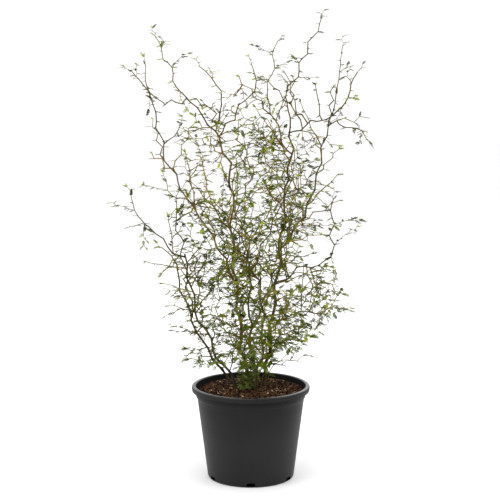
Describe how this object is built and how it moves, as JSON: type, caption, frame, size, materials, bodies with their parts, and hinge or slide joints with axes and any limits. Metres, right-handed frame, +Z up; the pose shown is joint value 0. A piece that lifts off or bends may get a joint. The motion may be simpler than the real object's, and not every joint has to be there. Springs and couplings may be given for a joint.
{
  "type": "potted prostrate kowhai shrub",
  "caption": "Wiry upright shrub with zigzag stems and sprays of small leaves, growing in a round black plastic nursery pot filled with bark compost.",
  "frame": {"origin": "centre of the pot's flat underside", "axes": "+Z up along the pot's axis; the shrub's widest view is from -Y, with +X to the right"},
  "size_m": [0.6142, 0.5432, 1.1006],
  "materials": {
    "pot_plastic": "matte black moulded polypropylene",
    "compost": "damp bark compost",
    "bark": "thin bark, orange-brown to olive",
    "leaf_green": "small matte leaves, olive green with lime tips"
  },
  "bodies": {
    "root": {"pot": "pot_plastic", "soil": "compost", "stem_middle": "bark", "stem_right": "bark", "stem_left": "bark", "stem_far_left": "bark", "stem_front": "bark", "stem_back": "bark", "bough_high_left": "bark", "bough_upper_left": "bark", "bough_upper_middle": "bark", "bough_far_upper_left": "bark", "bough_left": "bark", "bough_left_rise": "bark", "bough_high_right": "bark", "bough_right_shoulder": "bark", "bough_top_middle": "bark", "bough_right": "bark", "bough_right_rise": "bark", "bough_far_right": "bark", "bough_middle_right": "bark", "bough_low_right": "bark", "bough_back_left": "bark", "bough_left_arm": "bark", "bough_front_left": "bark", "bough_front_right": "bark", "bough_back_rise": "bark", "bough_back_right": "bark", "foliage_tallest": "leaf_green", "foliage_high_right": "leaf_green", "foliage_right_top": "leaf_green", "foliage_far_right": "leaf_green", "foliage_top_middle": "leaf_green", "foliage_upper_middle": "leaf_green", "foliage_upper_left": "leaf_green", "foliage_high_left": "leaf_green", "foliage_far_upper_left": "leaf_green", "foliage_left_top": "leaf_green", "foliage_left_fork": "leaf_green", "foliage_left_side": "leaf_green", "foliage_left_arm": "leaf_green", "foliage_back_left_top": "leaf_green", "foliage_outer_left": "leaf_green", "foliage_low_left": "leaf_green", "foliage_left_inner": "leaf_green", "foliage_middle_low_left": "leaf_green", "foliage_middle_low_right": "leaf_green", "foliage_middle": "leaf_green", "foliage_middle_high": "leaf_green", "foliage_right_inner": "leaf_green", "foliage_middle_right": "leaf_green", "foliage_low_right": "leaf_green", "foliage_right_back": "leaf_green", "foliage_front_left": "leaf_green", "foliage_front_right": "leaf_green", "foliage_front_low": "leaf_green", "foliage_back_rise": "leaf_green", "foliage_back_right": "leaf_green", "foliage_back_low": "leaf_green", "foliage_back_low_left": "leaf_green"}
  },
  "joints": []
}
